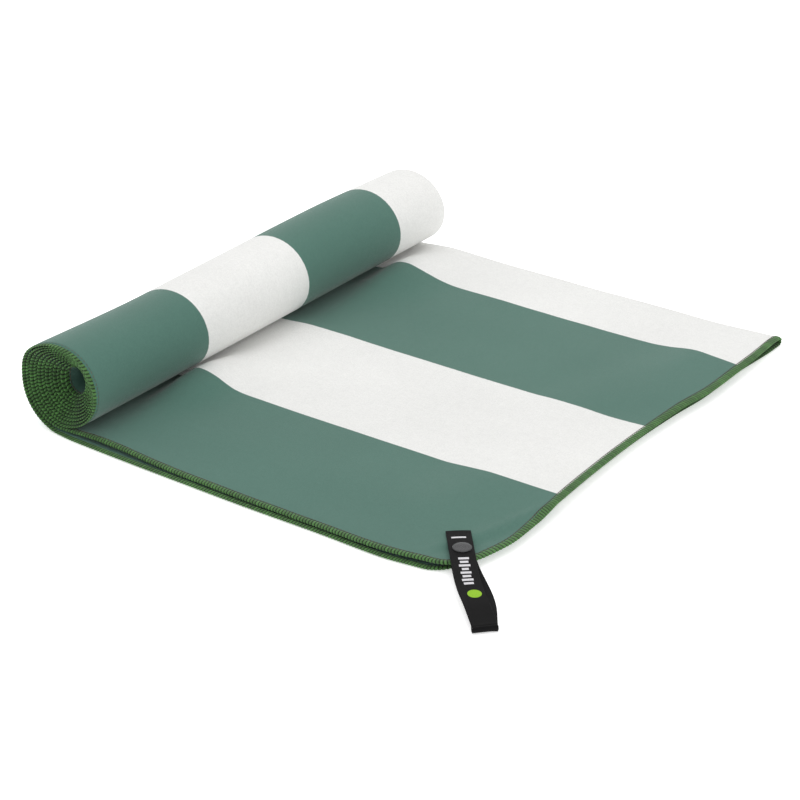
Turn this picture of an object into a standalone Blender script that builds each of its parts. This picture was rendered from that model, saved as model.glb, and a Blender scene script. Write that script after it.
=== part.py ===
"""Quick-dry towel, folded in half along its length and rolled up from one end.

Frame: +X runs along the towel to its free end, +Y from the open near edges to the fold,
+Z up. The origin is on the underside of the flat part, in its middle. Lengths are in metres.
"""
import math

import bmesh
import bpy
from mathutils import Matrix, Vector

# Cloth
FOLDED_WIDTH = 0.400          # top layer's finished near edge to the fold
FLAT_LENGTH = 0.304           # nip of the roll to the finished free end
CLOTH_THICKNESS = 0.0010
UNDERLAP = 0.009              # how far the bottom layer's edge shows past the top layer's

# Overlocked hem
HEM_WIDTH = 0.007
HEM_THICKNESS = 0.0018        # along the two long edges
END_HEM_THICKNESS = 0.0013    # across the two ends

# Roll: the size of its hollow core, across the middle of the innermost cloth, at its hemmed
# near end and at its folded far end. Its outside follows from the turns wound over the core.
ROLL_TURNS = 5.5
ROLL_GAP = 0.00035            # between neighbouring hems in the roll
CORE_NEAR_WIDTH = 0.021
CORE_NEAR_HEIGHT = 0.02285
CORE_FAR_WIDTH = 0.023
CORE_FAR_HEIGHT = 0.01285
ROLL_OVERHANG = 0.0085        # how far the roll bulges past the nip line
NIP_REACH = 0.040             # how far out of the roll the two layers take to part
NEAR_DISH = 0.017             # how far the core is pushed in at the near end
FAR_DISH = 0.005              # how far the core stands out at the far end

# Hanging loop
RIBBON_WIDTH = 0.016
RIBBON_THICKNESS = 0.0008
LOOP_ANGLE = math.radians(-47.6)   # the loop's direction, off the towel's near corner
LOOP_REACH = 0.088            # snap centre to the axis of the far bend
BEND_RADIUS = 0.0024          # middle of the ribbon round the far bend
SEWN_TAIL = 0.014             # sewn run past the snap, under the top layer
FREE_TAIL = 0.027             # free run past the snap, on top of the towel
ARCH_HEIGHT = 0.0078          # middle of the free run over the loop's opening

# Snap fastener, size 20
SNAP_INSET = 0.0116           # snap centre from both finished edges of the corner
CAP_RADIUS = 0.0062
FRONT_CAP_HEIGHT = 0.0014
BACK_CAP_HEIGHT = 0.0011
PRONG_RADIUS = 0.0009
STUD_RADIUS = 0.0042
STUD_FLANGE = 0.0006
KNOB_RADIUS = 0.0018
KNOB_HEIGHT = 0.0013
SOCKET_RADIUS = 0.0050
SOCKET_HEIGHT = 0.0017
SOCKET_ROOF = 0.0004          # thickness left over the knob's pocket

# Bar tacks that hold the sewn run
TACK_LENGTH = 0.012
TACK_WIDTH = 0.0016
TACK_HEIGHT = 0.0005
TACK_SPACING = 0.004

GAP = 0.0003                  # running clearance between neighbouring pieces

# How finely the curved shapes are cut
STATIONS_PER_TURN = 16
FLAT_STATIONS = 6
LAYER_ROWS = 4
FOLD_ROWS = 6
ROUND_SIDES = 24

GREEN = (0.096, 0.205, 0.168)
HEM_GREEN = (0.045, 0.155, 0.040)
BLACK = (0.012, 0.012, 0.013)
SNAP_GREY = (0.095, 0.098, 0.102)

# Between the two layers: where the towel lies flat they part for a cap and the sewn ribbon
FLAT_LAYER_PITCH = HEM_THICKNESS + BACK_CAP_HEIGHT + RIBBON_THICKNESS + 3 * GAP
ROLL_LAYER_PITCH = HEM_THICKNESS + ROLL_GAP
WOUND_WIDTH = CLOTH_THICKNESS + ROLL_LAYER_PITCH * (4 * ROLL_TURNS - 2)
WOUND_HEIGHT = CLOTH_THICKNESS + ROLL_LAYER_PITCH * (4 * ROLL_TURNS - 1)
ROLL_NEAR_WIDTH = CORE_NEAR_WIDTH + WOUND_WIDTH
ROLL_NEAR_HEIGHT = CORE_NEAR_HEIGHT + WOUND_HEIGHT
ROLL_FAR_WIDTH = CORE_FAR_WIDTH + WOUND_WIDTH
ROLL_FAR_HEIGHT = CORE_FAR_HEIGHT + WOUND_HEIGHT

ORIGIN = Vector((FLAT_LENGTH / 2, FOLDED_WIDTH / 2, 0))
TURN = 2 * math.pi
FLAT_RUN = FLAT_LENGTH - ROLL_OVERHANG + ROLL_NEAR_WIDTH / 2   # free end to under the roll's middle
TOP_FACE = FLAT_LAYER_PITCH + CLOTH_THICKNESS


def clear_scene():
    for obj in list(bpy.data.objects):
        bpy.data.objects.remove(obj, do_unlink=True)


def collection(name):
    made = bpy.data.collections.new(name)
    bpy.context.scene.collection.children.link(made)
    return made


def material(name, color, roughness):
    made = bpy.data.materials.new(name)
    made.use_nodes = True
    shader = made.node_tree.nodes["Principled BSDF"]
    shader.inputs["Base Color"].default_value = (*color, 1)
    shader.inputs["Roughness"].default_value = roughness
    shader.inputs["Metallic"].default_value = 0
    made.diffuse_color = (*color, 1)
    return made


def blend(low, high, share):
    """Smooth step from low to high as share goes from 0 to 1."""
    share = min(max(share, 0), 1)
    return low + (high - low) * share * share * (3 - 2 * share)


# ---------------------------------------------------------------- the folded, rolled sheet


def roll_size(y):
    """The roll's outer width and height at a distance y from the near edge."""
    share = min(max(y / FOLDED_WIDTH, 0), 1)
    width = ROLL_NEAR_WIDTH + (ROLL_FAR_WIDTH - ROLL_NEAR_WIDTH) * share
    height = ROLL_NEAR_HEIGHT + (ROLL_FAR_HEIGHT - ROLL_NEAR_HEIGHT) * share
    return width, height


def sheet_point(station, y, depth):
    """A point of the sheet. station runs from -1 at the free end to 0 under the roll's
    middle, and from there it is the angle turned round the roll. depth is measured inwards
    from the middle of the bottom layer, which is the roll's outside."""
    width, height = roll_size(y)
    half_width = (width - CLOTH_THICKNESS) / 2 + ROLL_LAYER_PITCH
    half_height = (height - CLOTH_THICKNESS + ROLL_LAYER_PITCH) / 2
    middle_x = ROLL_OVERHANG - width / 2
    low = CLOTH_THICKNESS / 2
    if station < 0:
        return Vector((middle_x - (FLAT_LENGTH - middle_x) * station, y, low + depth))
    inwards = 2 * ROLL_LAYER_PITCH * station / TURN + depth
    share = station / (TURN * ROLL_TURNS)
    dish = NEAR_DISH + (FAR_DISH - NEAR_DISH) * min(max(y / FOLDED_WIDTH, 0), 1)
    return Vector((
        middle_x - (half_width - inwards) * math.sin(station),
        y + dish * share,
        low + half_height - (half_height - inwards) * math.cos(station),
    ))


def layer_pitch(station):
    """Distance between the two layers, which closes up as the sheet enters the roll."""
    return blend(ROLL_LAYER_PITCH, FLAT_LAYER_PITCH, -station * FLAT_RUN / NIP_REACH)


def flat_stations(inset):
    """Positions from the free end, less an inset, to where the sheet enters the roll."""
    start = (inset - FLAT_RUN) / FLAT_RUN
    nip = -NIP_REACH / FLAT_RUN
    found = [start + (nip - start) * i / FLAT_STATIONS for i in range(FLAT_STATIONS)]
    return found + [nip * share for share in (1, 0.75, 0.5, 0.25)]


def end_angle(inset):
    """The angle of the roll's last turn at which an inset from the sheet's inner end lies."""
    width = (ROLL_NEAR_WIDTH - CLOTH_THICKNESS) / 2 + ROLL_LAYER_PITCH
    height = (ROLL_NEAR_HEIGHT - CLOTH_THICKNESS + ROLL_LAYER_PITCH) / 2
    core = (width + height) / 2 - 2 * ROLL_LAYER_PITCH * ROLL_TURNS
    return TURN * ROLL_TURNS - inset / core


def roll_stations(first, last):
    """Angles round the roll from first to last. Every turn is cut at the same places, so
    that the flats of neighbouring layers lie parallel and keep their distance."""
    edges = [end_angle(inset) % TURN for inset in (HEM_WIDTH + GAP, HEM_WIDTH, 0)]
    step = TURN / STATIONS_PER_TURN
    even = [i * step for i in range(STATIONS_PER_TURN)]
    clear = [place for place in even if all(abs(place - edge) > step / 3 for edge in edges)]
    found = [place + TURN * lap for lap in range(math.ceil(ROLL_TURNS)) for place in clear + edges]
    tiny = step / 1000
    return [angle for angle in sorted(found) if first - tiny < angle < last + tiny]


def across(pitch, top_start, bottom_end):
    """(y, depth) points from the top layer's near edge, round the fold, to the bottom's."""
    radius = pitch / 2
    turn_y = FOLDED_WIDTH - radius
    found = []
    for i in range(LAYER_ROWS):
        found.append((top_start + (turn_y - top_start) * i / LAYER_ROWS, pitch))
    for i in range(FOLD_ROWS + 1):
        angle = math.pi * i / FOLD_ROWS
        found.append((turn_y + radius * math.sin(angle), radius + radius * math.cos(angle)))
    for i in range(1, LAYER_ROWS + 1):
        found.append((turn_y + (bottom_end - turn_y) * i / LAYER_ROWS, 0))
    return found


def sheet(name, along, section, thickness, look, target):
    """A strip of the sheet: a grid laid over stations and a section, then given a wall. A
    wall thicker than the cloth's stands out inwards, so that every underside is level."""
    rows = len(section(along[0]))
    rise = (thickness - CLOTH_THICKNESS) / 2
    shape = bmesh.new()
    bmesh.ops.create_grid(shape, x_segments=len(along) - 1, y_segments=rows - 1, size=1)
    for vertex in shape.verts:
        column = round((vertex.co.x + 1) / 2 * (len(along) - 1))
        row = round((vertex.co.y + 1) / 2 * (rows - 1))
        y, depth = section(along[column])[row]
        vertex.co = sheet_point(along[column], y, depth + rise) - ORIGIN
    mesh = bpy.data.meshes.new(name)
    shape.to_mesh(mesh)
    shape.free()
    mesh.shade_smooth()
    obj = add_object(name, mesh, look, target)
    wall = obj.modifiers.new("Thickness", "SOLIDIFY")
    wall.thickness = thickness
    wall.offset = 0
    return obj


def add_object(name, data, look, target):
    obj = bpy.data.objects.new(name, data)
    data.materials.append(look)
    target.objects.link(obj)
    return obj


def make_cloth(look, target):
    inset = HEM_WIDTH + GAP
    along = flat_stations(inset) + roll_stations(0, end_angle(inset))

    def section(station):
        return across(layer_pitch(station), inset, inset - UNDERLAP)

    return sheet("towel_cloth", along, section, CLOTH_THICKNESS, look, target)


def make_long_hem(name, outer_edge, on_top, look, target):
    along = flat_stations(0) + roll_stations(0, end_angle(0))

    def section(station):
        depth = layer_pitch(station) if on_top else 0
        return [(outer_edge, depth), (outer_edge + HEM_WIDTH, depth)]

    return sheet(name, along, section, HEM_THICKNESS, look, target)


def make_end_hem(name, along, look, target):
    inset = HEM_WIDTH + GAP

    def section(station):
        return across(layer_pitch(station), inset, inset - UNDERLAP)

    return sheet(name, along, section, END_HEM_THICKNESS, look, target)


def make_hems(look, target):
    make_long_hem("hem_top_long_edge", 0, True, look, target)
    make_long_hem("hem_bottom_long_edge", -UNDERLAP, False, look, target)
    make_end_hem("hem_free_end", (-1, HEM_WIDTH / FLAT_RUN - 1), look, target)
    inner = roll_stations(end_angle(HEM_WIDTH), end_angle(0))
    make_end_hem("hem_inner_end", inner, look, target)


# ---------------------------------------------------------------- the hanging loop

SNAP = Vector((FLAT_LENGTH - SNAP_INSET, SNAP_INSET, 0)) - ORIGIN
LOOP_FRAME = Matrix.Translation(SNAP) @ Matrix.Rotation(LOOP_ANGLE, 4, "Z")

BACK_CAP_LOW = HEM_THICKNESS + GAP
SEWN_MIDDLE = BACK_CAP_LOW + BACK_CAP_HEIGHT + GAP + RIBBON_THICKNESS / 2
STUD_LOW = TOP_FACE + GAP
SOCKET_LOW = STUD_LOW + STUD_FLANGE + GAP
FREE_MIDDLE = SOCKET_LOW + SOCKET_HEIGHT + GAP + RIBBON_THICKNESS / 2
FRONT_CAP_LOW = FREE_MIDDLE + RIBBON_THICKNESS / 2 + GAP
BEND_TOP = RIBBON_THICKNESS / 2 + 2 * BEND_RADIUS


def ribbon(name, points, straights, look, target):
    """A flat ribbon along a smooth line of (distance, height) points in the loop's frame.
    straights are the numbers of the points after which the line runs straight to the next."""
    line = bpy.data.curves.new(name, "CURVE")
    line.dimensions = "2D"
    line.fill_mode = "NONE"
    line.extrude = RIBBON_WIDTH / 2
    line.resolution_u = 4
    spline = line.splines.new("BEZIER")
    spline.bezier_points.add(len(points) - 1)
    for knot, (distance, height) in zip(spline.bezier_points, points):
        knot.co = (distance, height, 0)
        knot.handle_left_type = knot.handle_right_type = "AUTO"
    for start in straights:
        spline.bezier_points[start].handle_right_type = "VECTOR"
        spline.bezier_points[start + 1].handle_left_type = "VECTOR"
    guide = bpy.data.objects.new(name + "_line", line)
    guide.matrix_world = LOOP_FRAME @ Matrix.Rotation(math.pi / 2, 4, "X")
    target.objects.link(guide)
    bpy.context.view_layer.update()
    surface = guide.evaluated_get(bpy.context.evaluated_depsgraph_get())
    mesh = bpy.data.meshes.new_from_object(surface)
    mesh.name = name
    obj = bpy.data.objects.new(name, mesh)
    obj.matrix_world = guide.matrix_world
    bpy.data.objects.remove(guide)
    bpy.data.curves.remove(line)
    mesh.materials.clear()
    mesh.materials.append(look)
    mesh.shade_smooth()
    target.objects.link(obj)
    wall = obj.modifiers.new("Thickness", "SOLIDIFY")
    wall.thickness = RIBBON_THICKNESS
    wall.offset = 0
    return obj


def bend(middle, radius, count):
    """The far bend, from its lowest point round to its highest."""
    found = []
    for i in range(count + 1):
        angle = -math.pi / 2 + math.pi * i / count
        found.append((middle + radius * math.cos(angle), BEND_TOP - radius + radius * math.sin(angle)))
    return found


def make_ribbons(look, target):
    ground = RIBBON_THICKNESS / 2
    lifted = ground + 0.0006
    sewn = [
        (-SEWN_TAIL, SEWN_MIDDLE),
        (CAP_RADIUS, SEWN_MIDDLE),
        (SNAP_INSET + HEM_WIDTH, SEWN_MIDDLE * 0.72),
        (LOOP_REACH * 0.40, lifted),
        (LOOP_REACH * 0.60, ground),
        (LOOP_REACH * 0.90, ground),
    ] + bend(LOOP_REACH, BEND_RADIUS, 6)
    free = [
        (-FREE_TAIL, TOP_FACE + RIBBON_THICKNESS / 2 + 0.0010),
        (-FREE_TAIL * 0.55, FREE_MIDDLE - 0.0010),
        (-CAP_RADIUS, FREE_MIDDLE),
        (CAP_RADIUS, FREE_MIDDLE),
        (LOOP_REACH * 0.30, (FREE_MIDDLE + ARCH_HEIGHT) / 2),
        (LOOP_REACH * 0.60, ARCH_HEIGHT),
        (LOOP_REACH * 0.82, (ARCH_HEIGHT + BEND_TOP) / 2 + 0.0003),
        (LOOP_REACH - GAP, BEND_TOP),
    ]
    sewn_run = ribbon("loop_sewn_run", sewn, (0, 4, 5), look, target)
    return sewn_run, ribbon("loop_free_run", free, (2,), look, target)


# ---------------------------------------------------------------- the snap fastener


def turned(name, profile, look, target):
    """A round piece: a profile of (radius, height) points, from the top down, turned about
    the snap's axis."""
    mesh = bpy.data.meshes.new(name)
    mesh.from_pydata([(r, 0, z) for r, z in profile], [(i, i + 1) for i in range(len(profile) - 1)], [])
    obj = add_object(name, mesh, look, target)
    obj.location = SNAP
    screw = obj.modifiers.new("Turn", "SCREW")
    screw.steps = screw.render_steps = ROUND_SIDES
    screw.use_merge_vertices = True
    screw.merge_threshold = 0.00001
    screw.use_smooth_shade = True
    return obj


def make_snap(look, target):
    front_top = FRONT_CAP_LOW + FRONT_CAP_HEIGHT
    front_cap = turned("snap_front_cap", [
        (0, front_top),
        (CAP_RADIUS * 0.45, front_top - 0.0001),
        (CAP_RADIUS * 0.80, front_top - 0.0004),
        (CAP_RADIUS * 0.97, front_top - 0.0008),
        (CAP_RADIUS, FRONT_CAP_LOW + 0.0002),
        (CAP_RADIUS * 0.97, FRONT_CAP_LOW),
        (PRONG_RADIUS, FRONT_CAP_LOW),
        (PRONG_RADIUS, SOCKET_LOW + SOCKET_HEIGHT - SOCKET_ROOF + GAP / 3),
        (0, SOCKET_LOW + SOCKET_HEIGHT - SOCKET_ROOF),
    ], look, target)
    socket_top = SOCKET_LOW + SOCKET_HEIGHT
    prong_hole = PRONG_RADIUS + GAP
    socket = turned("snap_socket", [
        (prong_hole, socket_top),
        (SOCKET_RADIUS * 0.88, socket_top),
        (SOCKET_RADIUS, socket_top - 0.0004),
        (SOCKET_RADIUS, SOCKET_LOW),
        (KNOB_RADIUS + GAP, SOCKET_LOW),
        (KNOB_RADIUS + GAP, socket_top - SOCKET_ROOF),
        (prong_hole, socket_top - SOCKET_ROOF),
        (prong_hole, socket_top),
    ], look, target)
    flange_top = STUD_LOW + STUD_FLANGE
    turned("snap_stud", [
        (prong_hole, flange_top + KNOB_HEIGHT - 0.0001),
        (KNOB_RADIUS * 0.85, flange_top + KNOB_HEIGHT - 0.0001),
        (KNOB_RADIUS, flange_top + KNOB_HEIGHT - 0.0005),
        (KNOB_RADIUS * 0.9, flange_top),
        (STUD_RADIUS, flange_top),
        (STUD_RADIUS, STUD_LOW),
        (prong_hole, STUD_LOW),
        (prong_hole, flange_top + KNOB_HEIGHT - 0.0001),
    ], look, target)
    back_top = BACK_CAP_LOW + BACK_CAP_HEIGHT
    turned("snap_back_cap", [
        (0, flange_top + KNOB_HEIGHT - GAP),
        (PRONG_RADIUS, flange_top + KNOB_HEIGHT - GAP * 2),
        (PRONG_RADIUS, back_top),
        (CAP_RADIUS * 0.97, back_top),
        (CAP_RADIUS, back_top - 0.0002),
        (CAP_RADIUS * 0.95, BACK_CAP_LOW + 0.0004),
        (CAP_RADIUS * 0.70, BACK_CAP_LOW + 0.0001),
        (0, BACK_CAP_LOW),
    ], look, target)
    return front_cap, socket


def hinge_free_run(pieces, target):
    """The free run folds open where it meets the far bend, about its own upper face."""
    hinge = bpy.data.objects.new("loop_hinge", None)
    hinge.empty_display_size = RIBBON_WIDTH
    hinge.matrix_world = LOOP_FRAME @ Matrix.Translation(
        (LOOP_REACH - GAP / 2, 0, BEND_TOP + RIBBON_THICKNESS / 2))
    target.objects.link(hinge)
    bpy.context.view_layer.update()
    for piece in pieces:
        piece.parent = hinge
        piece.matrix_parent_inverse = hinge.matrix_world.inverted()


def pierce(pieces, helpers):
    """The holes that the two prongs pass through in the cloth and the ribbon."""
    bpy.ops.mesh.primitive_cylinder_add(
        vertices=ROUND_SIDES,
        radius=PRONG_RADIUS + GAP,
        depth=FRONT_CAP_LOW - BACK_CAP_LOW,
        location=SNAP + Vector((0, 0, (FRONT_CAP_LOW + BACK_CAP_LOW) / 2)),
    )
    drill = bpy.context.object
    drill.name = "prong_drill"
    for owner in list(drill.users_collection):
        owner.objects.unlink(drill)
    helpers.objects.link(drill)
    drill.hide_render = True
    drill.display_type = "WIRE"
    for piece in pieces:
        cut = piece.modifiers.new("Prong hole", "BOOLEAN")
        cut.operation = "DIFFERENCE"
        cut.object = drill


def make_tacks(look, target):
    """Two bar tacks across the sewn run, on top of the cloth and under the free run."""
    for number, distance in enumerate((-SEWN_TAIL + TACK_SPACING / 2, -SEWN_TAIL + TACK_SPACING * 1.5), 1):
        bpy.ops.mesh.primitive_cube_add(size=1)
        tack = bpy.context.object
        tack.name = f"bar_tack_{number}"
        tack.data.transform(Matrix.Diagonal((TACK_WIDTH, TACK_LENGTH, TACK_HEIGHT, 1)))
        tack.matrix_world = LOOP_FRAME @ Matrix.Translation(
            (distance, 0, TOP_FACE + GAP + TACK_HEIGHT / 2))
        for owner in list(tack.users_collection):
            owner.objects.unlink(tack)
        target.objects.link(tack)
        tack.data.materials.append(look)
        edge = tack.modifiers.new("Soft edges", "BEVEL")
        edge.width = TACK_HEIGHT * 0.3
        edge.segments = 1


def main():
    clear_scene()
    towel = collection("Quick dry towel")
    helpers = collection("Cutters")
    green = material("green and white microfibre", GREEN, 0.9)
    hem = material("overlock thread", HEM_GREEN, 0.8)
    webbing = material("black satin ribbon", BLACK, 0.55)
    plastic = material("grey snap plastic", SNAP_GREY, 0.35)
    thread = material("black sewing thread", BLACK, 0.7)

    cloth = make_cloth(green, towel)
    make_hems(hem, towel)
    sewn_run, free_run = make_ribbons(webbing, towel)
    front_cap, socket = make_snap(plastic, towel)
    make_tacks(thread, towel)
    pierce((cloth, sewn_run, free_run), helpers)
    hinge_free_run((free_run, front_cap, socket), towel)


main()
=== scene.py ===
"""Quick-dry towel, folded along its length and rolled from one end, with a snap-on hanging loop.

Lengths are in metres. The sheet is described by two distances: along, from its free end into
the roll, and across, from the top layer's near edge over the fold to the bottom layer's near
edge. The flat part's own frame has its origin at the nip of the roll on the near edge.
"""
import bisect
import math

import bmesh
import bpy
from bpy.props import FloatProperty, FloatVectorProperty, IntProperty, PointerProperty
from mathutils import Matrix, Vector, noise


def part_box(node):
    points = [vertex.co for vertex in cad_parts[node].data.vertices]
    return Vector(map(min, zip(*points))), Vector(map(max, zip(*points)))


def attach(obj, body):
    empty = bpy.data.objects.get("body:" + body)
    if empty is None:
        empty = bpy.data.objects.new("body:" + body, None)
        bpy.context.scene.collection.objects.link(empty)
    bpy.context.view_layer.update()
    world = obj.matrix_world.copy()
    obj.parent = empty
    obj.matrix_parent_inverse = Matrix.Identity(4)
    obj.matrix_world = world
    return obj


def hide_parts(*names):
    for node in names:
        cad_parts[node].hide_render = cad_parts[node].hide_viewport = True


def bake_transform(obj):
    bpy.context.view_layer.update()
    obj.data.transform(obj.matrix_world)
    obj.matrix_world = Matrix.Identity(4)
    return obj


bl_info = {
    "name": "Quick-dry towel",
    "version": (1, 0, 0),
    "blender": (4, 5, 0),
    "location": "3D View > Sidebar > Towel",
    "description": "Builds a folded and rolled towel with its hems, hanging loop and snap",
    "category": "Object",
}

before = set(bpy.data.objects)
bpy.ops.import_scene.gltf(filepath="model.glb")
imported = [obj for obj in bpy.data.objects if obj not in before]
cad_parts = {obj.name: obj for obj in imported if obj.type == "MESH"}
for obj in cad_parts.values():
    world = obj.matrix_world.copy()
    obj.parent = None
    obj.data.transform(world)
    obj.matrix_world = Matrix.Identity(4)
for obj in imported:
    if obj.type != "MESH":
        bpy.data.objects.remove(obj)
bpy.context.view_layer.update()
TURN = 2 * math.pi

FREE_END_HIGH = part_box("hem_free_end")[1]
TOP_HEM_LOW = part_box("hem_top_long_edge")[0]
BOTTOM_HEM_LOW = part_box("hem_bottom_long_edge")[0]
BACK_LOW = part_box("snap_back_cap")[0]
CAP_LOW, CAP_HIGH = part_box("snap_front_cap")
SNAP = Vector(((CAP_LOW.x + CAP_HIGH.x) / 2, (CAP_LOW.y + CAP_HIGH.y) / 2, 0))

# The tables below shape the loose cloth. Their rows are (place, value), in millimetres.
# Where each layer's near edge lies, from the top hem's straight line, by the distance from the nip
TOP_EDGE = (
    (-80, -7.3), (-24, -7.4), (0, -7.8), (12, -8.0), (29, -8.6), (46, -9.8), (76, -11.9),
    (97, -12.7), (140, -14.0), (190, -14.4), (222, -15.2), (241, -15.4), (262, -14.4),
    (283, -11.8), (304, -9.4),
)
BOTTOM_EDGE = (
    (-80, -9.0), (-40, -9.6), (-24, -11.0), (-11, -12.6), (12, -13.8), (46, -14.9), (90, -15.9),
    (143, -16.9), (200, -16.8), (253, -17.7), (280, -15.0), (304, -12),
)
# How far the free end lies out of its straight line, by the distance from the near edge
END_SWAY = (
    (-9, -1.5), (8, 0.5), (22, 5.0), (42, 9.4), (60, 9.2), (80, 8.2), (108, 5.6), (152, 2.0),
    (209, -0.2), (258, 1.6), (291, 4.8), (324, 4.4), (360, 3.2), (400, 0.0),
)
# How high the top layer's loose folds rise. Each row is a distance from the near edge and its
# own rows by the distance from the nip.
TOP_LIFT = (
    (0, ((-8, 0), (0, -0.2), (40, -1.1), (225, -1.2), (255, -0.4), (285, 0.6), (304, 0.5))),
    (24, ((-8, 0), (0, 0.4), (12, 0.8), (36, -0.3), (60, -0.7), (230, -0.6), (262, 0.1),
          (304, 0.2))),
    (50, ((-8, 0), (0, 1.2), (12, 2.6), (36, 0.8), (60, 0), (200, 0.2), (246, 1.2), (275, 0.5),
          (304, 1.2))),
    (102, ((-8, 0.5), (-3, 3.4), (1, 7.8), (5, 9.6), (9, 9.6), (14, 9.0), (23, 6.7), (31, 3.6),
           (39, 1.3), (52, 0.2), (215, 0), (226, 0.7), (239, 2.0), (252, 3.1), (304, 3.6))),
    (160, ((-8, 0), (0, 0.6), (14, 2.2), (34, 0.6), (60, 0), (215, 0.2), (245, 1.8), (304, 2.2))),
    (221, ((-8, 0), (0, 0), (20, 0.5), (45, 0.4), (70, 0), (205, 0), (228, 1.1), (247, 1.2),
           (270, 0.6), (304, 2.2))),
    (280, ((-8, 0), (0, 0.6), (14, 2.6), (34, 1.4), (60, 0.2), (215, 0.2), (250, 2.6), (275, 4.0),
           (304, 2.4))),
    (339, ((-8, 0), (-3, 2.2), (2, 5.4), (7, 7.6), (12, 8.4), (18, 8.4), (26, 6.6), (36, 4.2),
           (46, 1.9), (60, 0.3), (90, 0.2), (154, -0.3), (232, 0.4), (246, 1.7), (266, 4.8),
           (281, 4.1), (304, 2.4))),
    (385, ((-8, 0), (0, 0.8), (18, 2.6), (40, 1.0), (80, 0), (240, 0), (272, 1.2), (304, 1.6))),
    (405, ((-8, 0), (0, 0.2), (80, 0), (250, 0), (304, -0.4))),
)
# How much higher the roll is than a plain cone, by the distance from the near edge
ROLL_RISE = (
    (0, -4.2), (80, -5.0), (130, -3.0), (170, -1.5), (215, 0.2), (270, 2.2), (310, 3.0),
    (400, 2.4),
)
# How far the roll's stripes have crept towards the fold, by the distance from the near edge
ROLL_CREEP = (
    (0, 0), (40, 3.6), (102, 8.6), (160, 7.4), (221, 5.4), (290, 3.4), (339, 1.8), (400, 0),
)
# Out-of-round of the roll by the angle turned, in degrees from under its middle
ROLL_BULGE_NEAR = (
    (0, 0), (45, -0.6), (90, -0.8), (125, 1.8), (150, 0.4), (180, -0.2), (225, 0.8), (270, 0.4),
    (320, -0.4), (360, 0),
)
ROLL_BULGE_FAR = ((0, 0), (90, 0), (150, -0.4), (200, 0.5), (250, 0.4), (300, -0.2), (360, 0))

# A soft crease across the near corner, from the near edge to the free end, in the same
# millimetres: where it starts, which way it runs and how far, its ridge and the hollow beside it
CREASE_START = (270.4, 0.4)
CREASE_AHEAD = (30.4, 87.2)
CREASE_LENGTH = 110
RIDGE_HEIGHT, RIDGE_WIDTH = 1.1, 3.2
HOLLOW_DEPTH, HOLLOW_WIDTH, HOLLOW_PLACE = 0.9, 7, 8

# How far the sheet takes, before the roll's middle, to go from its flat to its rolled spacing
GATHER = 0.040
# How far in from the near edge the edge's own shape fades out
EDGE_FADE = 0.042
# How much a stitch leans on its way across the hem, in stitches
STITCH_LEAN = 0.42


# ---------------------------------------------------------------- settings


def length(name, about, default):
    return FloatProperty(name=name, description=about, default=default, min=0, precision=5,
                         unit="LENGTH", subtype="DISTANCE")


def tint(name, about, default):
    return FloatVectorProperty(name=name, description=about, default=default, size=3, min=0, max=1,
                               subtype="COLOR")


class ClothSettings(bpy.types.PropertyGroup):
    folded_width: length("Folded width", "From the near edge of the top layer to the fold",
                         FREE_END_HIGH.y - TOP_HEM_LOW.y - 0.0005)
    flat_length: length("Flat length", "From the nip of the roll to the free end", 0.304)
    thickness: length("Thickness", "Thickness of the microfibre", 0.0011)
    flat_pitch: length("Layer spacing, flat", "Between the two layers where they lie flat", 0.0046)
    roll_pitch: length("Layer spacing, rolled", "Between neighbouring layers in the roll", 0.00215)
    underlap: length("Underlap", "How far the bottom layer shows past the top one",
                     TOP_HEM_LOW.y - BOTTOM_HEM_LOW.y)
    corner: length("Corner radius", "Rounding of the two corners at the free end", 0.018)
    setback: length("Set-back", "How far the bottom layer's free end lies behind the top's", 0.005)
    turns: FloatProperty(name="Turns", description="Turns of the folded sheet in the roll",
                         default=5.5, min=1, max=12)
    near_width: length("Roll width, near", "Across the roll at its hemmed end", 0.065)
    near_height: length("Roll height, near", "Height of the roll at its hemmed end", 0.069)
    far_width: length("Roll width, far", "Across the roll at its folded end", 0.067)
    far_height: length("Roll height, far", "Height of the roll at its folded end", 0.059)
    squash: FloatProperty(name="Squash", default=0.90, min=0.5, max=1,
                          description="Closeness of the layers over the roll's near end")
    overhang: length("Overhang", "How far the roll bulges past the nip", 0.0085)
    near_dish: length("Near dish", "How far the core is pushed in at the near end", 0.017)
    far_dish: length("Far dish", "How far the core stands out at the far end", 0.005)
    first_stripe: length("First stripe", "Width of the stripe along the near edge", 0.1026)
    stripe: length("Stripe", "Width of the other stripes", 0.1184)
    green: tint("Green", "Colour of the printed stripes", (0.083, 0.186, 0.149))
    white: tint("White", "Colour of the plain cloth", (0.87, 0.87, 0.85))


class HemSettings(bpy.types.PropertyGroup):
    width: length("Width", "Width of the overlocked band along the long edges", 0.0042)
    end_width: length("End width", "Width of the overlocked band across the free end", 0.0056)
    thickness: length("Thickness", "Thickness of the band where the towel lies flat", 0.0023)
    rolled_thickness: length("Thickness, rolled", "Thickness of the band where it is rolled up",
                             0.00155)
    stitch: length("Stitch", "Distance from one stitch to the next", 0.0024)
    needle_stitch: length("Needle stitch", "Length of a stitch of the needle thread", 0.0026)
    needle_radius: length("Needle thread", "Radius of the needle thread", 0.00024)
    thread: tint("Thread", "Colour of the overlock thread", (0.062, 0.175, 0.040))
    needle: tint("Needle thread", "Colour of the needle thread", (0.100, 0.078, 0.048))


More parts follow.
